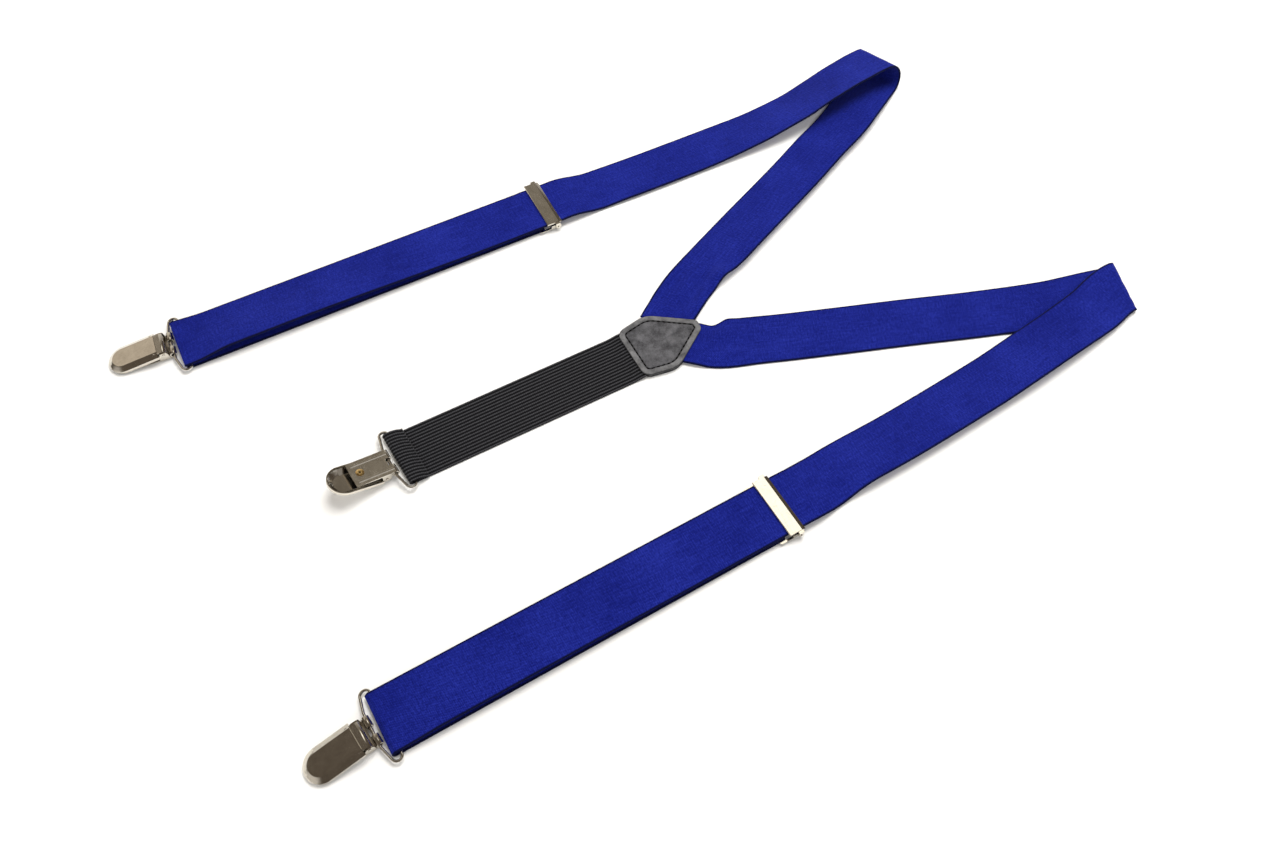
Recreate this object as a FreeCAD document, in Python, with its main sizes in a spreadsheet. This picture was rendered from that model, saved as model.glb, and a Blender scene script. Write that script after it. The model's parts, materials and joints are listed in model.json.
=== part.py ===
import FreeCAD, Part
import math
import os
import re
import Sketcher

# Clip-on Y-back suspenders laid out flat. The origin is the centre of the leather patch on the
# surface it rests on, +Y runs along the spine from the rear clip to the shoulder folds, +Z is up.

SIZES = {
    # woven straps and elastic
    "strap_width": 36.0, "elastic_width": 36.6, "strap_thick": 1.2, "top_layer": 3.9, "gap": 0.3,
    # leather patch: two layers with the webbing sewn between them
    "leather_thick": 1.15, "web_low": 1.2, "web_cover": 2.45, "patch_low": 19.6, "patch_high": 29.5,
    "patch_foot": 18.5, "patch_waist": 22.3, "patch_apex": 3.5, "patch_waist_y": 2.5,
    "foot_radius": 6.5, "waist_radius": 15.0, "apex_radius": 4.2,
    # bent wire loop of each clip
    "wire_radius": 0.9, "loop_long": 7.6, "wide_half": 21.2, "wide_side": 2.6,
    "narrow_half": 10.3, "wide_round": 2.4, "side_round": 3.2, "narrow_round": 1.5,
    # clip base plate, ears and hooks
    "plate_width": 17.0, "plate_thick": 0.8, "plate_low": 2.2, "plate_front": 24.0,
    "hook_bore": 1.4, "hook_notch": 5.0, "lip_height": 1.2,
    "bead_width": 1.7, "bead_side": 5.7, "bead_high": 0.45, "bead_front": 22.0,
    "ear_front": 9.0, "ear_back": 2.1, "ear_top": 3.9, "ear_round": 1.5,
    "ear_lean_back": 1.0, "ear_lean_front": 1.2,
    # pin, cam and shield lever
    "pin_y": 5.5, "pin_z": 2.2, "pin_radius": 0.9, "pin_over": 0.3, "running_gap": 0.05,
    "cam_radius": 2.3, "cam_width": 15.0, "arm_thick": 0.8, "arm_front": 11.0, "arm_drop": 0.3,
    "arm_sink": 0.6,
    "shield_width": 19.5, "shield_back": 8.6, "shield_tip": 39.0, "shield_wall": 0.7,
    "shield_top": 5.5, "shield_tilt": 8.0, "shield_depth": 4.1, "bevel_side": 3.2, "bevel_down": 2.1,
    # jaw pad, rivet and spring leaf
    "pad_width": 14.0, "pad_front": 23.0, "pad_back": 14.5, "pad_thick": 0.6, "tooth": 0.5,
    "rivet_y": 18.6, "rivet_radius": 2.5, "rivet_shank": 1.2, "rivet_bore": 0.6, "rivet_head": 0.45,
    "leaf_width": 8.0, "leaf_thick": 0.4, "leaf_front": 13.5, "leaf_back": 3.5,
    # strap adjuster
    "frame_half": 19.9, "frame_arm": 1.4, "frame_back": 11.0, "tail_bar": 1.8, "frame_front": 4.2,
    "frame_low": 1.5, "frame_thick": 0.6, "frame_round": 1.2,
    "anvil_back": 2.8, "anvil_front": 0.3, "anvil_top": 3.5,
    "lug_top": 4.3, "hinge_y": 1.8, "hinge_z": 2.9, "hinge_radius": 0.7, "hinge_half": 21.5,
    "cover_half": 21.1, "cover_ear": 0.9, "cover_reach": 5.2, "cover_low": 5.4, "cover_top": 6.2,
    "cover_bevel": 2.4, "cover_crown": 0.3, "cover_round": 0.4, "cover_inset": 1.7,
    "ear_half": 1.6, "ear_low": 1.4, "ear_curve": 1.2,
    # webbing ends: tail round the adjuster, hem of the elastic, seam lines under the patch
    "tail_length": 12.0, "hem_channel": 8.5, "hem_length": 12.5, "hem_margin": 1.0,
    "channel_round": 1.3, "elastic_end": 175.5,
    "seam_y": 3.0, "seam_x": 3.0, "web_overlap": 2.0, "pleat_y": 34.0,
    # height of the wire's wide bar and of the clips laid on the surface
    "bar_z": 2.65, "clip_lift": 0.05,
    # cuts run past the edge they open; a side between two arcs keeps this least length
    "cut_over": 0.2, "least_side": 0.001, "tip_side": 0.02,
    # left side as laid out: strap end, adjuster, bend, shoulder fold and back leg
    "left_nose_x": -140.7, "left_nose_y": -260.45, "left_adjuster_x": -135.5, "left_adjuster_y": -13.5,
    "left_bend_x": -133.6, "left_bend_y": 58.0, "left_fold_x": -139.5, "left_fold_y": 264.5,
    "left_fold_turn": 11.0, "left_fold_high": 13.0,
    "left_leg_x": -99.6, "left_leg_y": 196.2, "left_root_x": -13.5, "left_root_y": 0.0,
    # right side as laid out
    "right_nose_x": 140.9, "right_nose_y": -239.95, "right_adjuster_x": 133.5, "right_adjuster_y": 3.5,
    "right_bend_x": 131.2, "right_bend_y": 66.0, "right_fold_x": 105.8, "right_fold_y": 284.3,
    "right_fold_turn": -10.0, "right_fold_high": 5.0,
    "right_leg_x": 77.0, "right_leg_y": 190.0, "right_root_x": 5.0, "right_root_y": 0.0,
    # how the folded front strap comes down: over the back leg, to the surface, up to the adjuster
    "lap_low": 1.5, "lap_run": 80.0, "floor_run": 115.0, "rise_start": 46.0, "rise_end": 20.0,
}

doc = FreeCAD.newDocument("Suspenders")
sheet = doc.addObject("Spreadsheet::Sheet", "Sizes")
for row, (alias, number) in enumerate(SIZES.items(), start=1):
    sheet.set(f"A{row}", alias.replace("_", " "))
    sheet.set(f"B{row}", str(number))
    sheet.setAlias(f"B{row}", alias)
doc.recompute()

nodes = {}


def expr(text):
    """Point every size name in an expression at its cell."""
    def cell(word):
        return f"Sizes.{word.group()}" if word.group() in SIZES else word.group()
    return re.sub(r"[a-z]\w*", cell, str(text))


def value(text):
    return float(sheet.evalExpression(expr(text)))


def vector(x, y, z=0.0):
    return FreeCAD.Vector(x, y, z)


def origin_plane(body, role):
    return next(item for item in body.Origin.OriginFeatures if item.Role == role)


def new_body(name):
    body = doc.addObject("PartDesign::Body", name)
    body.Label = name
    return body


def new_sketch(body, name, role, lift="0"):
    """A sketch on one of its body's own origin planes, lifted along the plane's normal."""
    sketch = body.newObject("Sketcher::SketchObject", f"{body.Name}_{name}")
    sketch.AttachmentSupport = [(origin_plane(body, role), "")]
    sketch.MapMode = "FlatFace"
    sketch.setExpression("AttachmentOffset.Base.z", expr(lift))
    return sketch


def dimension(sketch, kind, *where):
    """Add a dimension and bind it to the sheet; the last item is its expression."""
    *refs, text = where
    index = sketch.addConstraint(Sketcher.Constraint(kind, *refs, value(text)))
    label = f"size{index}"
    sketch.renameConstraint(index, label)
    sketch.setExpression(f"Constraints.{label}", expr(text))


def outline(body, name, role, corners, lift="0"):
    """A closed outline of straight sides; a corner with a third item is rounded to that radius."""
    sketch = new_sketch(body, name, role, lift)
    points = [vector(value(corner[0]), value(corner[1])) for corner in corners]
    count = len(points)
    cuts = []
    for i, corner in enumerate(corners):
        back = (points[i - 1] - points[i]).normalize()
        ahead = (points[(i + 1) % count] - points[i]).normalize()
        turn = math.pi - back.getAngle(ahead)
        cut = value(corner[2]) * math.tan(turn / 2) if len(corner) > 2 else 0.0
        cuts.append((points[i] + back * cut, points[i] + ahead * cut, back, ahead))
    sides = []
    for i in range(count):
        line = Part.LineSegment(cuts[i][1], cuts[(i + 1) % count][0])
        sides.append(sketch.addGeometry(line, False))
    for i, corner in enumerate(corners):
        before, after = sides[i - 1], sides[i]
        start, end, back, ahead = cuts[i]
        if len(corner) == 2:
            sketch.addConstraint(Sketcher.Constraint("Coincident", before, 2, after, 1))
            dimension(sketch, "DistanceX", -1, 1, after, 1, corner[0])
            dimension(sketch, "DistanceY", -1, 1, after, 1, corner[1])
            continue
        radius = value(corner[2])
        reach = (start - points[i]).Length
        bisector = (back + ahead).normalize()
        middle = points[i] + bisector * (math.hypot(radius, reach) - radius)
        arc = sketch.addGeometry(Part.Arc(start, middle, end), False)
        left_turn = back.cross(ahead).z < 0
        first, last = (1, 2) if left_turn else (2, 1)
        sketch.addConstraint(Sketcher.Constraint("Tangent", before, 2, arc, first))
        sketch.addConstraint(Sketcher.Constraint("Tangent", after, 1, arc, last))
        dimension(sketch, "Radius", arc, corner[2])
        apex = sketch.addGeometry(Part.Point(points[i]), True)
        sketch.addConstraint(Sketcher.Constraint("PointOnObject", apex, 1, before))
        sketch.addConstraint(Sketcher.Constraint("PointOnObject", apex, 1, after))
        dimension(sketch, "DistanceX", -1, 1, apex, 1, corner[0])
        dimension(sketch, "DistanceY", -1, 1, apex, 1, corner[1])
    return sketch


def circle(body, name, role, across, up, radius, lift="0"):
    sketch = new_sketch(body, name, role, lift)
    centre = vector(value(across), value(up))
    ring = sketch.addGeometry(Part.Circle(centre, vector(0, 0, 1), value(radius)), False)
    dimension(sketch, "DistanceX", -1, 1, ring, 3, across)
    dimension(sketch, "DistanceY", -1, 1, ring, 3, up)
    dimension(sketch, "Radius", ring, radius)
    return sketch


def extrude(body, kind, sketch, length, both_ways, reverse):
    """Pad or pocket a sketch; the volume shows whether it really changed the body."""
    before = body.Shape.Volume if body.Shape.Solids else 0.0
    feature = body.newObject(f"PartDesign::{kind}", f"{sketch.Name}_{kind.lower()}")
    feature.Profile = sketch
    feature.setExpression("Length", expr(length))
    feature.Midplane = both_ways
    feature.Reversed = reverse
    doc.recompute()
    change = body.Shape.Volume - before
    if (change < 1e-6) if kind == "Pad" else (change > -1e-6):
        raise RuntimeError(f"{feature.Name} changes nothing")
    return feature


def pad(body, sketch, length, both_ways=False, reverse=False):
    return extrude(body, "Pad", sketch, length, both_ways, reverse)


def pocket(body, sketch, length, both_ways=False, reverse=False):
    """Cut a sketch out, down from its plane, or up with reverse."""
    return extrude(body, "Pocket", sketch, length, both_ways, reverse)


def finish_node(name, shape_object, placement):
    """Name a sub-part and put it in its place."""
    shape_object.Label = name
    shape_object.Placement = placement
    nodes[name] = shape_object


# ---------------------------------------------------------------- clip pieces, in the clip's frame
# The clip's origin is the axis of the wire's narrow bar, -Y runs to the shield's tip, +Z to the shield.

def wire_loop(name, place):
    """Closed hexagonal loop of round wire: wide bar in the webbing, narrow bar in the hooks."""
    body = new_body(name)
    path = outline(body, "path", "XY_Plane", [
        ("wide_half", "loop_long", "wide_round"),
        ("-wide_half", "loop_long", "wide_round"),
        ("-wide_half", "wide_side", "side_round"),
        ("-narrow_half", "0", "narrow_round"),
        ("narrow_half", "0", "narrow_round"),
        ("wide_half", "wide_side", "side_round"),
    ])
    section = circle(body, "section", "YZ_Plane", "loop_long", "0", "wire_radius")
    doc.recompute()
    pipe = body.newObject("PartDesign::AdditivePipe", f"{name}_pipe")
    pipe.Profile = section
    pipe.Spine = (path, [f"Edge{i + 1}" for i in range(len(path.Shape.Edges))])
    doc.recompute()
    finish_node(name, body, place)


def base_plate(name, place):
    """Stamped plate with two rolled hooks at the back, two ears for the pin and a front lip."""
    body = new_body(name)
    pad(body, outline(body, "side", "YZ_Plane", [
        ("0", "-plate_low"),
        ("0", "plate_thick - plate_low"),
        ("plate_thick - plate_front", "plate_thick - plate_low"),
        ("plate_thick - plate_front", "lip_height - plate_low"),
        ("-plate_front", "lip_height - plate_low"),
        ("-plate_front", "-plate_low"),
    ]), "plate_width", True)
    pad(body, circle(body, "hook", "YZ_Plane", "0", "0", "plate_low"), "plate_width", True)
    pad(body, outline(body, "ears", "YZ_Plane", [
        ("-ear_front", "-plate_low"),
        ("-ear_back", "-plate_low"),
        ("-ear_back - ear_lean_back", "ear_top", "ear_round"),
        ("ear_lean_front - ear_front", "ear_top", "ear_round"),
    ]), "plate_width", True)
    gap = "plate_width / 2 - plate_thick"
    pocket(body, outline(body, "gap", "XY_Plane", [
        (gap, "0.1 - ear_back"),
        (f"-({gap})", "0.1 - ear_back"),
        (f"-({gap})", "-ear_front - cut_over"),
        (gap, "-ear_front - cut_over"),
    ], "plate_thick - plate_low"), "ear_top + plate_low", reverse=True)
    pocket(body, circle(body, "bore", "YZ_Plane", "0", "0", "hook_bore"), "plate_width", True)
    pocket(body, outline(body, "notch", "XY_Plane", [
        ("hook_notch / 2", "plate_low + 0.1"),
        ("-hook_notch / 2", "plate_low + 0.1"),
        ("-hook_notch / 2", "-plate_low + 0.1"),
        ("hook_notch / 2", "-plate_low + 0.1"),
    ]), "plate_low * 2.2", True)
    pocket(body, circle(body, "pin", "YZ_Plane", "-pin_y", "pin_z", "pin_radius"), "plate_width", True)
    pocket(body, circle(body, "rivet", "XY_Plane", "0", "-rivet_y", "rivet_shank"), "plate_low * 2.2", True)
    for side in ("-", ""):
        inner, outer = f"{side}(bead_side - bead_width / 2)", f"{side}(bead_side + bead_width / 2)"
        tag = "left" if side else "right"
        pad(body, outline(body, f"bead_{tag}", "XZ_Plane", [
            (inner, "-plate_low"),
            (f"{inner} + ({outer} - {inner}) / 5", "-plate_low - bead_high"),
            (f"{outer} - ({outer} - {inner}) / 5", "-plate_low - bead_high"),
            (outer, "-plate_low"),
            (outer, "0.1 - plate_low"),
            (inner, "0.1 - plate_low"),
        ]), "bead_front")
    finish_node(name, body, place)


def shield_block(name, inset):
    """The shield's solid form, moved in by a wall: round tip, upright skirt and a bevel above it."""
    body = new_body(name)
    half = f"(shield_width / 2 - {inset})"
    tip = f"(shield_tip - shield_back - {inset})"
    tail = "(bevel_side * 2)"
    plan = outline(body, "plan", "XY_Plane", [
        (half, tail),
        (f"-{half}", tail),
        (f"-{half}", f"-{tip}", f"{half} - tip_side"),
        (half, f"-{tip}", f"{half} - tip_side"),
    ], f"-bevel_down - {inset}")
    pad(body, plan, f"shield_depth - bevel_down + {inset}", reverse=True)
    crown = pad(body, plan, "bevel_down")
    crown.setExpression("TaperAngle", expr("-atan(bevel_side / bevel_down)"))
    doc.recompute()
    pocket(body, outline(body, "back", "XY_Plane", [
        ("shield_width", f"{inset}"),
        ("shield_width", "shield_width"),
        ("-shield_width", "shield_width"),
        ("-shield_width", f"{inset}"),
    ]), "shield_depth * 3", True)
    return body


def lever(name, place):
    """Shield lever: hollow pressed shield, flat arm and the cam that turns on the pin."""
    outer = shield_block(f"{name}_outer", "0")
    inner = shield_block(f"{name}_inner", "shield_wall")
    tilt = FreeCAD.Placement(
        vector(0, -value("shield_back"), value("shield_top")),
        FreeCAD.Rotation(vector(1, 0, 0), value("shield_tilt")))
    outer.Placement = tilt
    inner.Placement = tilt
    shell = doc.addObject("Part::Cut", f"{name}_shell")
    shell.Base, shell.Tool = outer, inner
    cam = new_body(f"{name}_cam")
    pad(cam, circle(cam, "roll", "YZ_Plane", "-pin_y", "pin_z", "cam_radius"), "cam_width", True)
    pad(cam, outline(cam, "arm", "YZ_Plane", [
        ("-pin_y", "pin_z + cam_radius"),
        ("-pin_y", "pin_z + cam_radius - arm_thick"),
        ("-arm_front", "shield_top - arm_drop - arm_thick"),
        ("-arm_front", "shield_top - arm_sink"),
    ]), "cam_width", True)
    bore = circle(cam, "bore", "YZ_Plane", "-pin_y", "pin_z", "pin_radius + running_gap")
    pocket(cam, bore, "cam_width", True)
    whole = doc.addObject("Part::MultiFuse", name)
    whole.Shapes = [shell, cam]
    doc.recompute()
    finish_node(name, whole, place)


def pivot_pin(name, place):
    """Plain steel pin pressed through both ears."""
    pin = doc.addObject("Part::Cylinder", name)
    pin.setExpression("Radius", expr("pin_radius"))
    pin.setExpression("Height", expr("plate_width + 2 * pin_over"))
    along_x = FreeCAD.Rotation(vector(0, 1, 0), 90)
    start = vector(-value("plate_width") / 2 - value("pin_over"), -value("pin_y"), value("pin_z"))
    doc.recompute()
    finish_node(name, pin, place.multiply(FreeCAD.Placement(start, along_x)))


def jaw_pad(name, place):
    """Moulded pad on the plate's inner face, with teeth across it."""
    body = new_body(name)
    floor = "plate_thick - plate_low"
    count = 6
    step = f"(pad_front - pad_back) / {count}"
    corners = [("-pad_front", floor)]
    for i in range(count):
        corners.append((f"-pad_front + {step} * {i}", f"{floor} + pad_thick"))
        corners.append((f"-pad_front + {step} * ({i} + 0.5)", f"{floor} + pad_thick + tooth"))
    corners.append(("-pad_back", f"{floor} + pad_thick"))
    corners.append(("-pad_back", floor))
    pad(body, outline(body, "side", "YZ_Plane", corners), "pad_width", True)
    seat = circle(body, "seat", "XY_Plane", "0", "-rivet_y", "rivet_shank")
    pocket(body, seat, "plate_low * 2.2", True)
    finish_node(name, body, place)


def rivet(name, place):
    """Tubular rivet: domed head under the plate, shank through plate and jaw pad."""
    body = new_body(name)
    sketch = outline(body, "half", "XZ_Plane", [
        ("rivet_bore", "-plate_low - rivet_head"),
        ("rivet_radius * 0.6", "-plate_low - rivet_head"),
        ("rivet_radius", "-plate_low - rivet_head * 0.35"),
        ("rivet_radius", "-plate_low"),
        ("rivet_shank", "-plate_low"),
        ("rivet_shank", "plate_thick - plate_low + pad_thick"),
        ("rivet_bore", "plate_thick - plate_low + pad_thick"),
    ])
    turn = body.newObject("PartDesign::Revolution", f"{name}_turn")
    turn.Profile = sketch
    turn.ReferenceAxis = (sketch, ["V_Axis"])
    turn.Angle = 360.0
    doc.recompute()
    centre = FreeCAD.Placement(vector(0, -value("rivet_y")), FreeCAD.Rotation())
    finish_node(name, body, place.multiply(centre))


def spring_leaf(name, place):
    """Flat steel leaf that the cam presses against the plate."""
    leaf = doc.addObject("Part::Box", name)
    leaf.setExpression("Length", expr("leaf_width"))
    leaf.setExpression("Width", expr("leaf_front - leaf_back"))
    leaf.setExpression("Height", expr("leaf_thick"))
    corner = vector(-value("leaf_width") / 2, -value("leaf_front"), value("plate_thick - plate_low"))
    doc.recompute()
    finish_node(name, leaf, place.multiply(FreeCAD.Placement(corner, FreeCAD.Rotation())))


CLIP_PIECES = {
    "wire_loop": wire_loop, "base_plate": base_plate, "lever": lever, "pivot_pin": pivot_pin,
    "jaw_pad": jaw_pad, "rivet": rivet, "spring_leaf": spring_leaf,
}


# ------------------------------------------------------- adjuster pieces, in the adjuster's frame
# The adjuster's origin is the middle of its cover on the surface below, +Y runs to the shoulder.

def adjuster_frame(name, place):
    """Stamped frame: tail bar, two arms beside the strap, the anvil bar and a lug at each side."""
    body = new_body(name)
    inner = "(frame_half - frame_arm)"
    pad(body, outline(body, "plate", "XY_Plane", [
        ("frame_half", "-frame_back", "frame_round"),
        ("frame_half", "frame_front"),
        (inner, "frame_front"),
        (inner, "-anvil_front"),
        (f"-{inner}", "-anvil_front"),
        (f"-{inner}", "frame_front"),
        ("-frame_half", "frame_front"),
        ("-frame_half", "-frame_back", "frame_round"),
    ], "frame_low"), "frame_thick")
    pad(body, outline(body, "anvil", "XY_Plane", [
        (inner, "-anvil_back"),
        (inner, "-anvil_front"),
        (f"-{inner}", "-anvil_front"),
        (f"-{inner}", "-anvil_back"),
    ], "frame_low"), "anvil_top - frame_low")
    pad(body, outline(body, "lugs", "YZ_Plane", [
        ("-anvil_back", "frame_low"),
        ("frame_front", "frame_low"),
        ("frame_front", "lug_top", "frame_round"),
        ("-anvil_back", "lug_top", "frame_round"),
    ]), "frame_half * 2", True)
    pocket(body, outline(body, "between", "XY_Plane", [
        (inner, "-anvil_back - cut_over"),
        (inner, "frame_front + cut_over"),
        (f"-{inner}", "frame_front + cut_over"),
        (f"-{inner}", "-anvil_back - cut_over"),
    ], "anvil_top"), "lug_top", reverse=True)
    pocket(body, outline(body, "front_gap", "XY_Plane", [
        (inner, "-anvil_front"),
        (inner, "frame_front + cut_over"),
        (f"-{inner}", "frame_front + cut_over"),
        (f"-{inner}", "-anvil_front"),
    ]), "lug_top * 3", True)
    pocket(body, outline(body, "window", "XY_Plane", [
        (inner, "tail_bar - frame_back"),
        (inner, "-anvil_back"),
        (f"-{inner}", "-anvil_back"),
        (f"-{inner}", "tail_bar - frame_back"),
    ]), "lug_top * 3", True)
    hole = circle(body, "hinge", "YZ_Plane", "hinge_y", "hinge_z", "hinge_radius")
    pocket(body, hole, "frame_half * 2", True)
    finish_node(name, body, place)


def adjuster_cover(name, place):
    """Clamping cover: flat plate with a bevelled shoulder edge and an ear at each side."""
    body = new_body(name)
    pad(body, outline(body, "plate", "YZ_Plane", [
        ("-cover_reach", "cover_low"),
        ("cover_reach", "cover_low"),
        ("cover_reach - cover_bevel", "cover_top + cover_crown"),
        ("-cover_reach", "cover_top + cover_crown", "cover_round"),
    ]), "(cover_half - cover_inset) * 2", True)
    pad(body, outline(body, "ears", "YZ_Plane", [
        ("hinge_y - ear_half", "cover_top"),
        ("hinge_y - ear_half", "ear_low", "ear_curve"),
        ("hinge_y + ear_half", "ear_low", "ear_curve"),
        ("hinge_y + ear_half", "cover_top"),
    ]), "cover_half * 2", True)
    inner = "(cover_half - cover_ear)"
    pocket(body, outline(body, "between", "XY_Plane", [
        (inner, "-cover_reach"),
        (inner, "cover_reach + cut_over"),
        (f"-{inner}", "cover_reach + cut_over"),
        (f"-{inner}", "-cover_reach"),
    ], "cover_low"), "cover_low")
    hole = circle(body, "hinge", "YZ_Plane", "hinge_y", "hinge_z", "hinge_radius + running_gap")
    pocket(body, hole, "cover_half * 2", True)
    finish_node(name, body, place)


def adjuster_pin(name, place):
    """Long pin through both lugs and both ears of the cover."""
    pin = doc.addObject("Part::Cylinder", name)
    pin.setExpression("Radius", expr("hinge_radius"))
    pin.setExpression("Height", expr("hinge_half * 2"))
    along_x = FreeCAD.Rotation(vector(0, 1, 0), 90)
    start = vector(-value("hinge_half"), value("hinge_y"), value("hinge_z"))
    doc.recompute()
    finish_node(name, pin, place.multiply(FreeCAD.Placement(start, along_x)))


ADJUSTER_PIECES = {
    "adjuster_frame": adjuster_frame, "adjuster_cover": adjuster_cover, "adjuster_pin": adjuster_pin,
}


# --------------------------------------------------------------------------------- placements

def turned(x, y, z, yaw):
    """A placement at a point, turned about +Z."""
    return FreeCAD.Placement(vector(x, y, z), FreeCAD.Rotation(vector(0, 0, 1), yaw))


def about_x(angle):
    return FreeCAD.Placement(vector(0, 0), FreeCAD.Rotation(vector(1, 0, 0), angle))


def point(name, z=0.0):
    """A place given in the sheet by its name's x and y cells."""
    return vector(value(f"{name}_x"), value(f"{name}_y"), z)


def strap_yaw(side):
    """Angle of the lower front strap from +Y, from the webbing's end to the adjuster."""
    run = point(f"{side}_adjuster") - point(f"{side}_nose")
    return math.degrees(math.atan2(-run.x, run.y))


# Each clip: centre of the wide bar, yaw and pitch of its wire, then the clip's slide along the
# narrow bar, its yaw in the loose hooks, and whether it lies with the shield underneath.
CLIPS = {
    "left": {"bar": (-142.0, -259.2), "yaw": -3.0, "pitch": 0.0, "slide": -1.7, "play": -3.0, "roll": 0},
    "right": {"bar": (141.0, -238.4), "yaw": 4.2, "pitch": 0.0, "slide": 0.5, "play": 2.8, "roll": 0},
    "rear": {"bar": (0.2, -171.8), "yaw": 3.4, "pitch": -12.0, "slide": 0.3, "play": 1.2, "roll": 180},
}


def wire_place(clip):
    bar = turned(*clip["bar"], value("bar_z"), clip["yaw"])
    centre = FreeCAD.Placement(vector(0, -value("loop_long")), FreeCAD.Rotation())
    return bar.multiply(about_x(clip["pitch"])).multiply(centre)


def clip_place(clip):
    shift = turned(clip["slide"], 0, value("clip_lift"), clip["play"])
    flip = FreeCAD.Placement(vector(0, 0), FreeCAD.Rotation(vector(0, 1, 0), clip["roll"]))
    return wire_place(clip).multiply(shift).multiply(flip)


def adjuster_place(side):
    return turned(*point(f"{side}_adjuster")[:2], 0, strap_yaw(side))


# ------------------------------------------------------------------------------------ leather

def patch_outline(body):
    return outline(body, "plan", "XY_Plane", [
        ("patch_foot", "-patch_low", "foot_radius"),
        ("patch_waist", "patch_waist_y", "waist_radius"),
        ("patch_apex", "patch_high", "apex_radius"),
        ("-patch_apex", "patch_high", "apex_radius"),
        ("-patch_waist", "patch_waist_y", "waist_radius"),
        ("-patch_foot", "-patch_low", "foot_radius"),
    ])


def leather(name, low):
    """One layer of the rounded three-cornered patch."""
    body = new_body(name)
    sketch = patch_outline(body)
    pad(body, sketch, "leather_thick")
    finish_node(name, body, turned(0, 0, value(low), 0))
    return sketch


# ------------------------------------------------------------------------------------ webbing

def elastic_strap(name):
    """Ribbed elastic from the patch to the rear clip, turned back round the wide bar and sewn."""
    body = new_body(name)
    upper = "(top_layer + strap_thick)"
    nose = "-elastic_end"
    half = f"{upper} / 2 - least_side"
    pad(body, outline(body, "side", "YZ_Plane", [
        ("-seam_y", "web_low"),
        ("-seam_y", "web_low + strap_thick"),
        ("-patch_low - web_overlap", "web_low + strap_thick"),
        ("-patch_low - web_overlap", "strap_thick"),
        (f"{nose} + hem_length + gap", "strap_thick"),
        (f"{nose} + hem_length + gap", "strap_thick * 2"),
        (f"{nose} + hem_channel + gap", upper),
        (nose, upper, half),
        (nose, "0", half),
        ("-patch_low - gap", "0"),
        ("-patch_low - gap", "web_low"),
    ]), "elastic_width", True)
    pocket(body, outline(body, "channel", "YZ_Plane", [
        (f"{nose} + strap_thick", "strap_thick", "channel_round"),
        (f"{nose} + hem_length - hem_margin", "strap_thick"),
        (f"{nose} + hem_channel", "top_layer"),
        (f"{nose} + strap_thick", "top_layer", "channel_round"),
    ]), "elastic_width + gap", True)
    finish_node(name, body, turned(0, 0, 0, 0))


def strap_return(name, side):
    """Webbing under the front strap: round the clip's wide bar, back and round the tail bar."""
    body = new_body(name)
    reach = (point(f"{side}_adjuster") - point(f"{side}_nose")).Length
    tail = f"({reach} - frame_back + tail_bar + gap * 2)"
    upper = "(top_layer + strap_thick)"
    turn = "strap_thick * 3"
    pad(body, outline(body, "side", "YZ_Plane", [
        ("0", upper),
        (f"-{upper} / 2", upper, f"{upper} / 2 - least_side"),
        (f"-{upper} / 2", "0", f"{upper} / 2 - least_side"),
        (f"{tail} + strap_thick * 1.5", "0", f"{turn} / 2 - least_side"),
        (f"{tail} + strap_thick * 1.5", turn, f"{turn} / 2 - least_side"),
        (f"{tail} - tail_length", turn),
        (f"{tail} - tail_length", f"{turn} - strap_thick"),
        (f"{tail} + strap_thick / 2", f"{turn} - strap_thick", "strap_thick / 2 - least_side"),
        (f"{tail} + strap_thick / 2", "strap_thick", "strap_thick / 2 - least_side"),
        (f"strap_thick - {upper} / 2", "strap_thick", f"{upper} / 2 - strap_thick - least_side"),
        (f"strap_thick - {upper} / 2", "top_layer", f"{upper} / 2 - strap_thick - least_side"),
        ("0", "top_layer"),
    ]), "strap_width", True)
    finish_node(name, body, turned(*point(f"{side}_nose")[:2], 0, strap_yaw(side)))


def band_face(route, width):
    """Plan of a strap of one width along a route of points."""
    edges = {1: [], -1: []}
    for side, edge in edges.items():
        for i, place in enumerate(route):
            before = (place - route[i - 1]).normalize() if i else None
            after = (route[i + 1] - place).normalize() if i + 1 < len(route) else None
            along = (before or after) + (after or before)
            half_turn = (before or after).getAngle(after or before) / 2
            across = vector(-along.y, along.x).normalize() * (width / 2 / math.cos(half_turn))
            edge.append(place + across * side)
    ring = edges[1] + edges[-1][::-1]
    return Part.Face(Part.makePolygon(ring + ring[:1]))


def fixed_shape(name, shape):
    node = doc.addObject("Part::Feature", name)
    node.Shape = shape
    finish_node(name, node, turned(0, 0, 0, 0))


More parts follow.
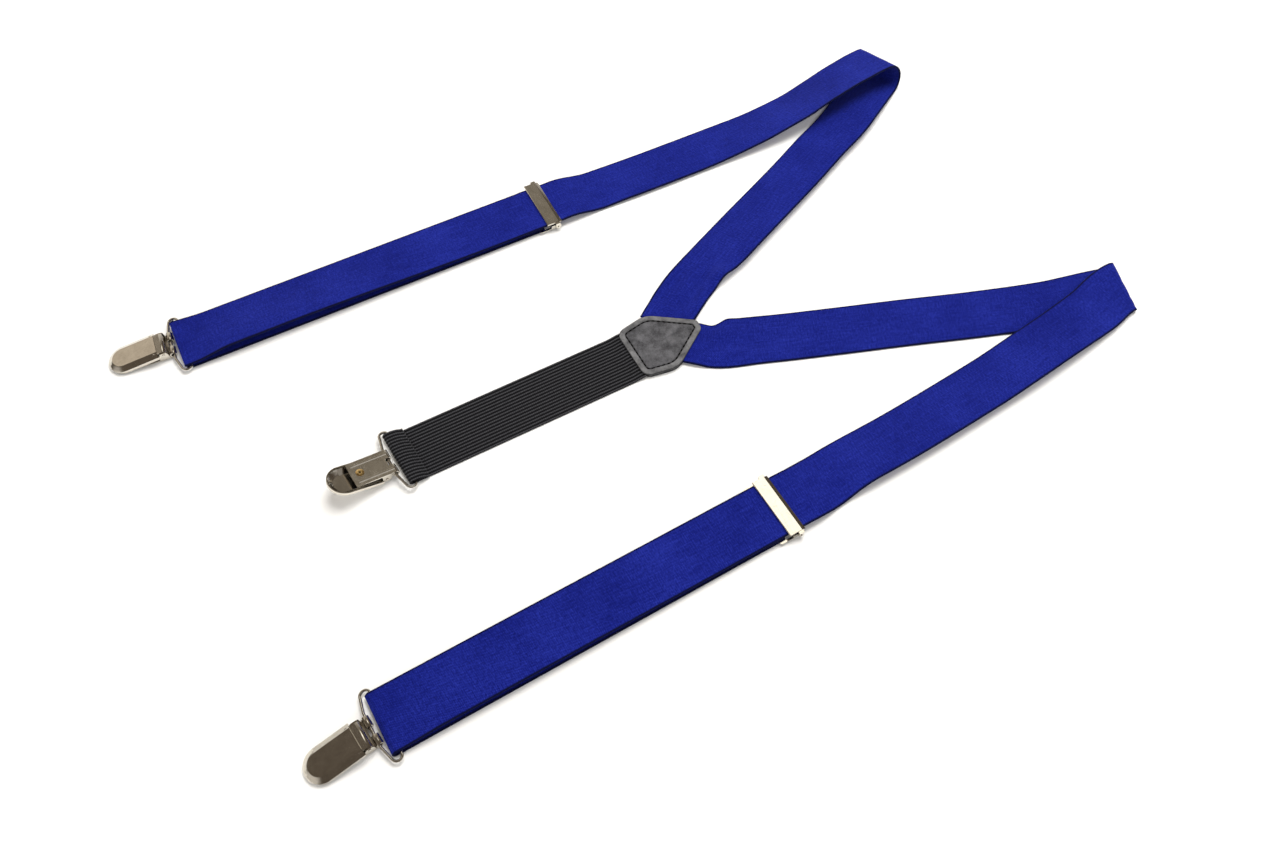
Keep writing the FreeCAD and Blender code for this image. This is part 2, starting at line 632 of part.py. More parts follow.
def strap_front(name, side):
    """Front strap: round the shoulder fold, down over the back leg, then up through the adjuster."""
    thick, width, gap = value("strap_thick"), value("strap_width"), value("gap")
    nose, fold = point(f"{side}_nose"), point(f"{side}_fold")
    start = nose + (point(f"{side}_adjuster") - nose).normalize() * gap
    route = [start, point(f"{side}_bend"), fold]
    route.append(fold + (fold - route[1]).normalize() * width / 2)
    high, plateau = value(f"{side}_fold_high"), value("top_layer")
    outer = high / 2
    lap, turn = value("lap_low"), math.radians(value(f"{side}_fold_turn"))
    length = fold.y - nose.y + width
    square = vector(math.sin(turn), -math.cos(turn))
    ahead = (point(f"{side}_adjuster") - fold).dot(square)
    below = [
        (outer, high - thick), (value("lap_run"), lap), (value("floor_run"), 0.0),
        (ahead - value("rise_start"), 0.0), (ahead - value("rise_end"), plateau), (length, plateau),
    ]
    def at(q, z):
        return vector(0, -q, z)
    edges = [Part.Arc(at(outer, thick), at(thick, outer), at(outer, high - thick)).toShape()]
    edges += [Part.makeLine(at(*a), at(*b)) for a, b in zip(below, below[1:])]
    edges.append(Part.makeLine(at(length, plateau), at(length, plateau + thick)))
    above = [(q, z + thick) for q, z in reversed(below)]
    edges += [Part.makeLine(at(*a), at(*b)) for a, b in zip(above, above[1:])]
    edges.append(Part.Arc(at(outer, high), at(0, outer), at(outer, 0)).toShape())
    edges.append(Part.makeLine(at(outer, 0), at(outer, thick)))
    profile = Part.Face(Part.Wire(edges))
    profile.translate(vector(-length, 0))
    sheet_solid = profile.extrude(vector(2 * length, 0))
    sheet_solid.Placement = turned(fold.x, fold.y, 0, math.degrees(turn))
    prism = band_face(route, width).extrude(vector(0, 0, high + 1))
    fixed_shape(name, sheet_solid.common(prism).removeSplitter())


def far_side(start, end, way):
    """Everything in plan beyond the line from start to end, on the -X (-1) or +X (+1) side."""
    along = (end - start).normalize() * value("elastic_end") * 2
    out = vector(way, 0) * value("elastic_end") * 2
    ring = [start - along, start + along, start + along + out, start - along + out]
    return Part.Face(Part.makePolygon(ring + ring[:1]))


def strap_back(name, side, patch):
    """Back strap: from the seams between the leather layers to the shoulder fold."""
    thick, width, gap = value("strap_thick"), value("strap_width"), value("gap")
    way = -1 if side == "left" else 1
    root, leg, fold = point(f"{side}_root"), point(f"{side}_leg"), point(f"{side}_fold")
    band = band_face([root, leg, fold], width)
    # the fold's crease ends the flat stretch, the seams end it under the patch
    crease = turned(fold.x, fold.y, 0, value(f"{side}_fold_turn"))
    crease_low = -value(f"{side}_fold_high") / 2
    beyond = [crease.multVec(vector(x, y)) for x, y in (
        (-width, crease_low), (width, crease_low), (width, width), (-width, width))]
    band = band.cut(Part.Face(Part.makePolygon(beyond + beyond[:1])))
    seam_x = -value("seam_x") + way * gap / 2
    band = band.cut(far_side(vector(seam_x, 0), vector(seam_x, 1), -way))
    seam_low = gap - value("seam_y")
    below = [vector(-width * 2, seam_low), vector(width * 2, seam_low),
             vector(width * 2, -width), vector(-width * 2, -width)]
    band = band.cut(Part.Face(Part.makePolygon(below + below[:1])))
    # the outer edge is drawn in to meet the patch at its waist
    along = (leg - root).normalize()
    pleat = root + along * (value("pleat_y") / along.y) + vector(along.y, -along.x) * (way * width / 2)
    band = band.cut(far_side(pleat, vector(way * value("patch_waist"), 0), way))
    outside = band.cut(patch.makeOffset2D(gap)).extrude(vector(0, 0, thick))
    sewn = band.common(patch.makeOffset2D(value("web_overlap")))
    sewn.translate(vector(0, 0, value("web_low")))
    whole = outside.fuse(sewn.extrude(vector(0, 0, thick))).removeSplitter()
    fixed_shape(name, whole)


# ---------------------------------------------------------------------------------- assembly

for clip_side, clip_data in CLIPS.items():
    for piece, make in CLIP_PIECES.items():
        spot = wire_place(clip_data) if piece == "wire_loop" else clip_place(clip_data)
        make(f"{clip_side}_{piece}", spot)

leather("patch_bottom", "0")
patch_sketch = leather("patch_top", "web_cover")
patch_plan = Part.Face(Part.Wire(patch_sketch.Shape.Edges))
patch_plan.Placement = FreeCAD.Placement()
elastic_strap("elastic_strap")
for strap_side in ("left", "right"):
    for piece, make in ADJUSTER_PIECES.items():
        make(f"{strap_side}_{piece}", adjuster_place(strap_side))
    strap_return(f"{strap_side}_strap_return", strap_side)
    strap_front(f"{strap_side}_strap_front", strap_side)
    strap_back(f"{strap_side}_strap_back", strap_side, patch_plan)

doc.recompute()
for item in doc.Objects:
    if "Invalid" in item.State or "Error" in item.State:
        raise RuntimeError(f"{item.Name}: {item.State}")
for name, node in nodes.items():
    if node.Shape.isNull() or not node.Shape.isValid() or len(node.Shape.Solids) != 1:
        raise RuntimeError(f"{name} is not one valid solid")

os.makedirs("parts", exist_ok=True)
for name, node in nodes.items():
    node.Shape.exportStep(f"parts/{name}.step")
print(len(nodes), "sub-parts written")
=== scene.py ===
import json
import math

import bpy
import numpy as np
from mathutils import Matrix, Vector


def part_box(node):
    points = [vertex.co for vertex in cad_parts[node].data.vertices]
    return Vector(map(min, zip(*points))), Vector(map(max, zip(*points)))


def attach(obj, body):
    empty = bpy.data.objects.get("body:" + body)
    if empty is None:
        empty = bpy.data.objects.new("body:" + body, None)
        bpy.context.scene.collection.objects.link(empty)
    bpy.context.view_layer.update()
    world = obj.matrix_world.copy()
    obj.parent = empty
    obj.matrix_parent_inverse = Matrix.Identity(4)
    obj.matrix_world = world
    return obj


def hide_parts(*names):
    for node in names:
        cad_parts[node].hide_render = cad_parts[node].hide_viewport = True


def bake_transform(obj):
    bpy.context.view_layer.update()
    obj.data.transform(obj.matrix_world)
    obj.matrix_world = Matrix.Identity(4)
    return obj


# Clip-on Y-back suspenders laid flat: woven straps, ribbed elastic and stitched leather are made
# here around the metal clips and adjusters of the frame. Lengths in this file are in millimetres
# until a mesh is made; +Y runs from the rear clip to the shoulder folds and +Z is up.
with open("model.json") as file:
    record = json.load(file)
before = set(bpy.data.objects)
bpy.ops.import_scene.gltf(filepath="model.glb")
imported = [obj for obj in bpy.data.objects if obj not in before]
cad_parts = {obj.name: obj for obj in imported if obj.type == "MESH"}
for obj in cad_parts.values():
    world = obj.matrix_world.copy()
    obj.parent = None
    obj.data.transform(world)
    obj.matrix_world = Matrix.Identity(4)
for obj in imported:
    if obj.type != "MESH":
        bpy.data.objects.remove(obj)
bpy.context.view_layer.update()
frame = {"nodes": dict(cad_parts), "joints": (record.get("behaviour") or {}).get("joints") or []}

MM = 0.001
WIDTH = 36.0
ELASTIC_WIDTH = 36.6
THICK = 1.2
FLOOR = THICK / 2          # middle of webbing that lies on the surface
SEWN = 1.8                 # middle of webbing between the leather layers
UPPER = 4.5                # middle of the upper layer of a doubled strap
STEP = 2.0                 # spacing of the rows of a strap
EDGE = 0.55                # a strap's last column stands in from its rounded edge by this much
LOOP = (UPPER - FLOOR) / 2  # radius of the turn round a clip's wide bar
PIN_AHEAD = 1.8            # the adjuster's pin stands this far ahead of the cover's middle
TAIL_BACK = 8.6            # the tail turns this far behind the cover's middle
TAIL_ROUND = 1.2
TAIL_LONG = 12.0
INNER = {"left": 1.0, "right": -1.0}    # which edge of each strap faces the spine


# ------------------------------------------------------------------------------- geometry

def spline(points, step=STEP):
    """Evenly spaced points on a smooth curve through the given ones."""
    knots = np.array(points, float)
    ends = [2 * knots[0] - knots[1], *knots, 2 * knots[-1] - knots[-2]]
    dense = []
    for a, b, c, d in zip(ends, ends[1:], ends[2:], ends[3:]):
        t = np.linspace(0, 1, 40, endpoint=False)[:, None]
        dense.append(0.5 * (2 * b + (c - a) * t + (2 * a - 5 * b + 4 * c - d) * t**2
                            + (3 * b - a - 3 * c + d) * t**3))
    return even(np.vstack(dense + [knots[-1:]]), step)


def even(line, step=STEP):
    """The same line with its points evenly spaced."""
    gaps = np.linalg.norm(np.diff(line, axis=0), axis=1)
    run = np.concatenate([[0.0], np.cumsum(gaps)])
    where = np.linspace(0, run[-1], max(3, int(round(run[-1] / step)) + 1))
    return np.stack([np.interp(where, run, line[:, k]) for k in range(line.shape[1])], axis=1)


def arc(centre, radius, start, end, count=14):
    """Points on an arc in a side view, angles in degrees from the strap's run."""
    angles = np.radians(np.linspace(start, end, count))
    return np.stack([centre[0] + radius * np.cos(angles), centre[1] + radius * np.sin(angles)], axis=1)


def ease(x, low, high):
    """0 below low, 1 above high and smooth between them."""
    t = np.clip((np.asarray(x, float) - low) / (high - low), 0, 1)
    return t * t * (3 - 2 * t)


def run_of(line):
    """Distance along a line at each of its points."""
    return np.concatenate([[0.0], np.cumsum(np.linalg.norm(np.diff(line, axis=0), axis=1))])


def mesh_object(name, points, faces, uvs=None):
    data = bpy.data.meshes.new(name)
    data.from_pydata([tuple(p) for p in np.asarray(points) * MM], [], faces)
    data.update()
    if uvs is not None:
        layer = data.uv_layers.new(name="cloth")
        loops = np.array([loop.vertex_index for loop in data.loops])
        layer.data.foreach_set("uv", (np.asarray(uvs)[loops] * MM).astype(np.float32).ravel())
    data.polygons.foreach_set("use_smooth", [True] * len(data.polygons))
    thing = bpy.data.objects.new(name, data)
    bpy.context.scene.collection.objects.link(thing)
    return thing


def columns(half, count):
    """Places across a strap, closer together towards its edges."""
    t = np.linspace(-1, 1, count)
    return half * np.sin(t * math.pi / 2 * 0.92) / math.sin(math.pi / 2 * 0.92)


def band(name, middle, across, along, thick=None):
    """A closed strap around a grid of points on its middle surface: rows run along, columns across."""
    rows, cols = middle.shape[:2]
    thick = np.full(cols, THICK / 2) if thick is None else thick
    down_run = np.gradient(middle, axis=0)
    down_wide = np.gradient(middle, axis=1)
    normal = np.cross(down_wide, down_run)
    normal /= np.linalg.norm(normal, axis=2, keepdims=True)
    outward = down_wide / np.linalg.norm(down_wide, axis=2, keepdims=True)
    top = middle + normal * thick[None, :, None]
    under = middle - normal * thick[None, :, None]
    ring, ring_u = [], []
    for j in range(cols):
        ring.append(top[:, j])
        ring_u.append(across[j])
    for angle in (60, 0, -60):
        push = math.cos(math.radians(angle)) * thick[-1]
        lift = math.sin(math.radians(angle)) * thick[-1]
        ring.append(middle[:, -1] + outward[:, -1] * push + normal[:, -1] * lift)
        ring_u.append(across[-1] + push)
    for j in range(cols - 1, -1, -1):
        ring.append(under[:, j])
        ring_u.append(across[j])
    for angle in (-60, 0, 60):
        push = math.cos(math.radians(angle)) * thick[0]
        lift = math.sin(math.radians(angle)) * thick[0]
        ring.append(middle[:, 0] - outward[:, 0] * push + normal[:, 0] * lift)
        ring_u.append(across[0] - push)
    size = len(ring)
    points = np.stack(ring, axis=1).reshape(-1, 3)
    uvs = np.stack([np.tile(ring_u, rows), np.repeat(along, size)], axis=1)
    faces = []
    for i in range(rows - 1):
        for j in range(size):
            k = (j + 1) % size
            faces.append((i * size + j, i * size + k, (i + 1) * size + k, (i + 1) * size + j))
    for i, flip in ((0, True), (rows - 1, False)):
        base = i * size
        cap = [(base + j, base + j + 1, base + size - 5 - j, base + size - 4 - j) for j in range(cols - 1)]
        side = [(base + cols - 1, base + cols, base + cols + 1, base + cols + 2, base + cols + 3)]
        other = [(base + size - 4, base + size - 3, base + size - 2, base + size - 1, base)]
        for face in cap + side + other:
            faces.append(face[::-1] if flip else face)
    return mesh_object(name, points, faces, uvs)


def straight_band(name, profile, origin, heading, across, thick=None, start_run=0.0, drawn=None):
    """A strap whose side view is a line of (run, height) points along one heading."""
    line = even(np.asarray(profile, float), 1.2)
    along = run_of(line)
    ahead = np.array([heading[0], heading[1], 0.0])
    right = np.array([heading[1], -heading[0], 0.0])
    place = np.tile(across, (len(line), 1))
    if drawn is not None:
        place = place + drawn(line, along)
    middle = (np.array([origin[0], origin[1], 0.0]) + line[:, 0, None, None] * ahead
              + np.array([0, 0, 1.0]) * line[:, 1, None, None] + place[:, :, None] * right)
    return band(name, middle, across, along + start_run, thick), along[-1]


def capsule_run(name, line, up, long, gap, radius, sink=0.0):
    """A row of thread stitches along a closed or open line of points."""
    run = run_of(line)
    count = int(run[-1] // (long + gap))
    pitch = run[-1] / count
    points, faces = [], []
    around, rings = 8, 7
    for n in range(count):
        where = (n + 0.5) * pitch + np.linspace(-0.5, 0.5, rings) * long
        mid = np.stack([np.interp(where, run, line[:, k]) for k in range(3)], axis=1)
        ahead = mid[-1] - mid[0]
        ahead /= np.linalg.norm(ahead)
        side = np.cross(up, ahead)
        side /= np.linalg.norm(side)
        rise = np.cross(ahead, side)
        base = len(points)
        for i in range(rings):
            t = abs(2 * i / (rings - 1) - 1)
            size = radius * (1 - 0.55 * t**3)
            low = sink + radius * 0.9 * t**2.5
            for j in range(around):
                a = 2 * math.pi * j / around
                points.append(mid[i] + side * (size * math.cos(a)) + rise * (size * math.sin(a) - low))
        for i in range(rings - 1):
            for j in range(around):
                k = (j + 1) % around
                faces.append((base + i * around + j, base + i * around + k,
                              base + (i + 1) * around + k, base + (i + 1) * around + j))
        faces.append(tuple(base + j for j in range(around))[::-1])
        faces.append(tuple(base + (rings - 1) * around + j for j in range(around)))
    return mesh_object(name, points, faces)


# ------------------------------------------------------------------------------ materials

def material(name, **sockets):
    """A new material; the keywords are constants on the shader's own sockets."""
    made = bpy.data.materials.new(name)
    made.use_nodes = True
    shader = made.node_tree.nodes["Principled BSDF"]
    for socket, constant in sockets.items():
        label = socket.replace("_", " ")
        found = next(s for s in shader.inputs if s.name.lower() == label.lower())
        found.default_value = constant
    return made, shader


def add(made, kind, **inputs):
    """A new node; a keyword sets or links an input by name or number."""
    node = made.node_tree.nodes.new(kind)
    for label, source in inputs.items():
        if label.startswith("set_"):
            setattr(node, label[4:], source)
    for label, source in inputs.items():
        if label.startswith("set_"):
            continue
        socket = node.inputs[int(label[1:])] if label[0] == "i" and label[1:].isdigit() \
            else node.inputs[label.replace("_", " ")]
        if isinstance(source, bpy.types.NodeSocket):
            made.node_tree.links.new(source, socket)
        else:
            socket.default_value = source
    return node


def link(made, source, target):
    made.node_tree.links.new(source, target)


def maths(made, operation, first, second=0.0, third=0.0):
    return add(made, "ShaderNodeMath", set_operation=operation, i0=first, i1=second, i2=third).outputs[0]


def ramp(made, source, *stops):
    """A colour or grey ramp: (place, colour) pairs."""
    node = add(made, "ShaderNodeValToRGB", Fac=source)
    marks = node.color_ramp.elements
    while len(marks) < len(stops):
        marks.new(0.5)
    for mark, (place, colour) in zip(marks, stops):
        mark.position = place
        shade = colour if isinstance(colour, tuple) else (colour,) * 3
        mark.color = (*shade, 1.0)
    return node.outputs["Color"]


def scaled(made, source, x, y, z=1.0):
    return add(made, "ShaderNodeMapping", Vector=source, Scale=(x, y, z)).outputs[0]


def noise_of(made, source, scale, detail=2.0, rough=0.5):
    return add(made, "ShaderNodeTexNoise", Vector=source, Scale=scale, Detail=detail,
               Roughness=rough).outputs["Fac"]


def bump_of(made, height, distance, strength=1.0, below=None):
    node = add(made, "ShaderNodeBump", Height=height, Distance=distance, Strength=strength)
    if below is not None:
        link(made, below, node.inputs["Normal"])
    return node.outputs["Normal"]


def cloth_uv(made):
    return add(made, "ShaderNodeUVMap", set_uv_map="cloth").outputs["UV"]


def webbing_material():
    """Plain weave in royal blue: crossing threads, slubs, soft streaks, and painted shade along both edges
    where the strap rounds over.
    """
    made, shader = material("webbing_weave", Roughness=0.85, Sheen_Weight=0.06, Sheen_Roughness=0.5,
                            Sheen_Tint=(0.35, 0.42, 1.0, 1.0), Specular_IOR_Level=0.10)
    uv = cloth_uv(made)
    apart = add(made, "ShaderNodeSeparateXYZ", Vector=uv).outputs
    warp = maths(made, "SINE", maths(made, "MULTIPLY", apart[0], 2 * math.pi / 0.0011))
    weft = maths(made, "SINE", maths(made, "MULTIPLY", apart[1], 2 * math.pi / 0.0013))
    cross = maths(made, "MULTIPLY", warp, weft)
    fleck = noise_of(made, scaled(made, uv, 620, 900), 1.0, 3.0, 0.7)
    slub = noise_of(made, scaled(made, uv, 150, 1500), 1.0, 2.0)
    streak = noise_of(made, scaled(made, uv, 1100, 70), 1.0, 2.0)
    cloud = noise_of(made, uv, 24.0, 3.0)
    tone = maths(made, "MULTIPLY_ADD", cross, 0.09, maths(made, "MULTIPLY", fleck, 0.42))
    tone = maths(made, "MULTIPLY_ADD", slub, 0.20, tone)
    tone = maths(made, "MULTIPLY_ADD", streak, 0.18, tone)
    tone = maths(made, "MULTIPLY_ADD", cloud, 0.20, tone)
    colour = ramp(made, tone, (0.37, (0.0025, 0.0055, 0.110)), (0.50, (0.0075, 0.0135, 0.195)),
                  (0.63, (0.0180, 0.0300, 0.310)))
    # painted shade: the colour goes near-black navy over the outer millimetre of each edge, where the
    # strap rounds away from the light
    edge = maths(made, "ABSOLUTE", apart[0])
    shaded_edge_reach = maths(made, "MULTIPLY_ADD", noise_of(made, scaled(made, uv, 1, 900), 1.0), 0.0005, edge)
    dark = add(made, "ShaderNodeMapRange", Value=shaded_edge_reach, From_Min=(WIDTH / 2 - 1.2) * MM,
               From_Max=(WIDTH / 2 - 0.5) * MM).outputs[0]
    mixed = add(made, "ShaderNodeMix", set_data_type="RGBA", i0=dark, i6=colour,
                i7=(0.003, 0.004, 0.030, 1.0)).outputs[2]
    link(made, mixed, shader.inputs["Base Color"])
    thread = bump_of(made, cross, 0.00012)
    uneven = bump_of(made, slub, 0.00025, below=thread)
    link(made, bump_of(made, fleck, 0.00022, below=uneven), shader.inputs["Normal"])
    return made


def elastic_material():
    """Charcoal ribbed elastic: fine cross threads over the ribs, painted light on the rib tops and painted
    shade in the grooves.
    """
    made, shader = material("elastic_rib", Roughness=0.9, Sheen_Weight=0.03, Sheen_Roughness=0.5,
                            Specular_IOR_Level=0.12)
    uv = cloth_uv(made)
    apart = add(made, "ShaderNodeSeparateXYZ", Vector=uv).outputs
    knit = maths(made, "SINE", maths(made, "MULTIPLY", apart[1], 2 * math.pi / 0.0012))
    # painted light and shade: the colour is lighter on the rib tops and darker in the grooves between ribs
    rib_light_shade = maths(made, "COSINE", maths(made, "MULTIPLY", apart[0], 2 * math.pi / RIB_PITCH / MM))
    fuzz = noise_of(made, scaled(made, uv, 2500, 900), 1.0, 3.0)
    tone = maths(made, "MULTIPLY_ADD", rib_light_shade, 0.30, maths(made, "MULTIPLY_ADD", knit, 0.08,
                                                        maths(made, "MULTIPLY", fuzz, 0.5)))
    colour = ramp(made, tone, (0.0, (0.004, 0.004, 0.005)), (0.30, (0.014, 0.014, 0.016)),
                  (0.62, (0.064, 0.065, 0.071)))
    link(made, colour, shader.inputs["Base Color"])
    link(made, bump_of(made, knit, 0.00008, below=bump_of(made, fuzz, 0.00012)), shader.inputs["Normal"])
    return made


def leather_material():
    """Black leather with fine grain; the border outside the stitching is greyer and rubbed; painted shade
    lies in the stitch groove and along the cut edge.
    """
    made, shader = material("patch_leather", Specular_IOR_Level=0.4)
    place = add(made, "ShaderNodeTexCoord").outputs["Object"]
    uv = cloth_uv(made)
    inset = add(made, "ShaderNodeSeparateXYZ", Vector=uv).outputs[0]
    cells = add(made, "ShaderNodeTexVoronoi", set_feature="DISTANCE_TO_EDGE", Vector=place,
                Scale=1400.0).outputs["Distance"]
    pores = noise_of(made, place, 2600.0, 3.0)
    cloud = noise_of(made, place, 180.0, 5.0, 0.65)
    border = add(made, "ShaderNodeMapRange", Value=inset, From_Min=0.0030, From_Max=0.0040,
                 To_Min=1.0, To_Max=0.0).outputs[0]
    tone = maths(made, "MULTIPLY_ADD", cloud, 0.7, maths(made, "MULTIPLY", pores, 0.25))
    inner = ramp(made, tone, (0.34, (0.026, 0.026, 0.030)), (0.66, (0.160, 0.160, 0.172)))
    outer = ramp(made, tone, (0.34, (0.062, 0.062, 0.065)), (0.66, (0.250, 0.250, 0.258)))
    mixed = add(made, "ShaderNodeMix", set_data_type="RGBA", i0=border, i6=inner, i7=outer).outputs[2]
    # painted shade: near black along the stitch groove and round the cut edge, where the two layers meet
    away = maths(made, "ABSOLUTE", maths(made, "SUBTRACT", inset, STITCH_IN * MM))
    seam = ramp(made, maths(made, "MULTIPLY", away, 1000.0), (0.30, 1.0), (0.75, 0.0))
    cut_edge_shade = ramp(made, maths(made, "MULTIPLY", inset, 1000.0), (0.05, 1.0), (0.30, 0.0))
    shade = maths(made, "MULTIPLY", maths(made, "MAXIMUM", seam, cut_edge_shade), 0.8)
    mixed = add(made, "ShaderNodeMix", set_data_type="RGBA", i0=shade, i6=mixed,
                i7=(0.008, 0.008, 0.009, 1.0)).outputs[2]
    link(made, mixed, shader.inputs["Base Color"])
    rough = maths(made, "MULTIPLY_ADD", border, 0.22, maths(made, "MULTIPLY_ADD", cloud, 0.25, 0.32))
    link(made, rough, shader.inputs["Roughness"])
    grain = bump_of(made, ramp(made, cells, (0.0, 0.0), (0.14, 1.0)), 0.00012)
    link(made, bump_of(made, pores, 0.00005, below=grain), shader.inputs["Normal"])
    return made


def thread_material():
    """Black sewing thread with its twist."""
    made, shader = material("thread", Roughness=0.75, Specular_IOR_Level=0.1)
    place = add(made, "ShaderNodeTexCoord").outputs["Object"]
    twist = add(made, "ShaderNodeTexWave", Vector=place, Scale=1800.0, Distortion=1.0,
                set_bands_direction="DIAGONAL").outputs["Fac"]
    link(made, ramp(made, twist, (0.0, 0.001), (1.0, 0.006)), shader.inputs["Base Color"])
    link(made, bump_of(made, twist, 0.00005), shader.inputs["Normal"])
    return made


def metal_material(name, dark, light, low, high, scratch):
    """Plated metal: soft cloudy tarnish, fine rolling lines and hairline scratches."""
    made, shader = material(name, Metallic=1.0)
    place = add(made, "ShaderNodeTexCoord").outputs["Object"]
    cloud = noise_of(made, place, 160.0, 4.0, 0.6)
    lines = noise_of(made, scaled(made, place, 6000, 180, 900), 1.0, 2.0)
    hair = add(made, "ShaderNodeTexVoronoi", set_feature="DISTANCE_TO_EDGE",
               Vector=scaled(made, place, 60, 700, 300), Scale=1.0).outputs["Distance"]
    hair = ramp(made, hair, (0.0, 1.0), (0.02, 0.0))
    tone = maths(made, "MULTIPLY_ADD", lines, 0.30, maths(made, "MULTIPLY", cloud, 0.70))
    link(made, ramp(made, tone, (0.30, dark), (0.70, light)), shader.inputs["Base Color"])
    rough = maths(made, "MULTIPLY_ADD", tone, high - low, low)
    rough = maths(made, "MULTIPLY_ADD", hair, 0.08, rough)
    link(made, rough, shader.inputs["Roughness"])
    link(made, bump_of(made, cloud, 0.00003, scratch), shader.inputs["Normal"])
    return made


def pad_material():
    """Moulded black jaw pad with a pebbled face."""
    made, shader = material("jaw_rubber", Specular_IOR_Level=0.35)
    place = add(made, "ShaderNodeTexCoord").outputs["Object"]
    pebble = add(made, "ShaderNodeTexVoronoi", Vector=place, Scale=1500.0).outputs["Distance"]
    dust = noise_of(made, place, 300.0, 3.0)
    link(made, ramp(made, dust, (0.3, 0.010), (0.8, 0.030)), shader.inputs["Base Color"])
    link(made, ramp(made, dust, (0.3, 0.55), (0.8, 0.80)), shader.inputs["Roughness"])
    link(made, bump_of(made, pebble, 0.00008), shader.inputs["Normal"])
    return made


# ------------------------------------------------------------------------- the two sides

# Each front strap in plan, millimetres: middle line of the back leg from the patch to the fold,
# middle of the fold, middle line of the front strap from the fold to the adjuster. The fold's crease
# is turned from +X, and its loop has a radius that grows towards one end of the crease.
# kink: where along the leg the inner edge, drawn in beside the patch, starts and ends to come out,
# and how far it is drawn. bulge: place and size of the outer edge's swelling there. crease: place,
# length and height of a fold on the inner edge. pleats: size of the gathers. lean: height of the +X
# edge past the shoulder fold, where it starts and ends to sink, and its height from there. leg_lean:
# the same edge's height on the leg. arch: height between the doubled layers. corner: length and size
# of the pull on the far corner at the clip.
SIDES = {
    "left": {
        "leg": [(-8.5, 8), (-20.5, 25), (-32.2, 45), (-49.5, 83), (-76.4, 146), (-91.4, 179),
                (-106.6, 213)],
        "fold": (-139.3, 266.2), "turn": 11.0, "radius": 6.3, "flare": 0.13,
        "front": [(-139.2, 238), (-135.4, 212), (-131.2, 186), (-130.0, 160), (-130.9, 115), (-132.4, 58)],
        "kink": (46.0, 76.0, -3.6), "bulge": (30.0, 0.0), "crease": (54.0, 7.0, 3.2), "pleats": 1.0,
        "lean": (9.5, 70.0, 175.0, 1.5), "leg_lean": 4.6, "arch": 3.4, "corner": (28.0, -1.8),
    },
    "right": {
        "leg": [(3, 14), (16.5, 32), (29.6, 63), (44.3, 102), (60.4, 146), (77, 190), (92, 234)],
        "fold": (105.8, 284.3), "turn": -15.0, "radius": 2.3, "flare": -0.07,
        "front": [(111.6, 252), (116.6, 217), (121.4, 177), (125.4, 132), (128.2, 92), (129.9, 50)],
        "kink": (17.0, 34.0, -5.0), "bulge": (26.0, 1.0), "crease": (29.0, 5.0, 1.2), "pleats": -0.8,
        "lean": (4.5, 70.0, 175.0, 5.5), "leg_lean": 0.0, "arch": 1.8, "corner": (5.0, 0.0),
    },
}
LAP = (80.0, 115.0)        # the front strap lies on the back leg to here, and on the surface from here
LAP_HIGH = 2.15
EDGE_ZONE = (-4.0, WIDTH / 2)   # what happens at one edge fades out over this much of the width
BULGE_LONG = 14.0
RISE = (40.0, 14.0)        # distance before the adjuster where it starts to rise, and where it is level


def slide_heading(side):
    """Plan direction of the lower front strap, from the clip to the adjuster."""
    joint = next(j for j in frame["joints"] if j["name"] == f"{side}_adjuster_slide")
    return np.array(joint["axis"][:2])


def clip_end(side):
    """Where the webbing turns round the clip's wide bar, and the strap's heading from there."""
    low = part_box(f"{side}_strap_return")[0]
    heading = slide_heading(side)
    right = np.array([heading[1], -heading[0]])
    adjuster = adjuster_middle(side)
    tip = (low.y / MM - adjuster[1] + WIDTH / 2 * abs(right[1])) / heading[1]
    return adjuster + heading * (tip + (UPPER + FLOOR) / 2), heading


def adjuster_middle(side):
    """Plan place of the middle of the adjuster's cover."""
    low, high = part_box(f"{side}_adjuster_pin")
    pin = np.array([(low.x + high.x) / 2, (low.y + high.y) / 2]) / MM
    return pin - slide_heading(side) * PIN_AHEAD


def unrolled(plan, front, crease, beyond):
    """The strap's middle line with the fold rolled out flat: u along the crease, v across it."""
    fold = np.array(plan["fold"])
    leg = np.array(plan["leg"])
    after = np.array(front)
    slack = (math.pi / 2 - 1) * plan["radius"]
    flat_leg = np.stack([(leg - fold) @ crease, (leg - fold) @ beyond - slack], axis=1)
    flat_front = np.stack([(after - fold) @ crease, (fold - after) @ beyond + slack], axis=1)
    return spline(np.vstack([flat_leg, [[0.0, 0.0]], flat_front]))


def edges_drawn(plan, inner, along, across):
    """Places across the strap, row by row, and how far the clip pulls its far corner."""
    to_inner = ease(across * inner, *EDGE_ZONE)[None, :]
    to_outer = ease(-across * inner, *EDGE_ZONE)[None, :]
    kink_from, kink_to, kink_in = plan["kink"]
    kink = (1 - ease(along, kink_from, kink_to))[:, None] * to_inner * kink_in
    bulge_at, bulge_out = plan["bulge"]
    bulge = np.exp(-((along - bulge_at) / BULGE_LONG) ** 2)[:, None] * to_outer * bulge_out
    corner_long, corner_in = plan["corner"]
    near_nose = 1 - ease(along[-1] - along, 0.0, corner_long)
    far = np.clip(-across * inner / (WIDTH / 2), 0.0, 1.0) ** 2
    return across[None, :] + (kink - bulge) * inner, near_nose[:, None] ** 2 * far * corner_in * inner


def lean_along(plan, along, at_fold, double):
    """How far the +X edge stands off the surface, row by row: beyond the fold and along the leg."""
    beyond_fold = np.maximum(along - at_fold, 0.0)
    lean_high, lean_from, lean_to, lean_rest = plan["lean"]
    lean = lean_rest + (lean_high - lean_rest) * (1 - ease(beyond_fold, lean_from, lean_to))
    lean = lean * ease(beyond_fold, 10.0, 80.0) * ease(along[-1] - double - along, 25.0, 60.0)
    return lean + plan["leg_lean"] * ease(along, 40.0, 75.0) * ease(at_fold - along, 8.0, 60.0)


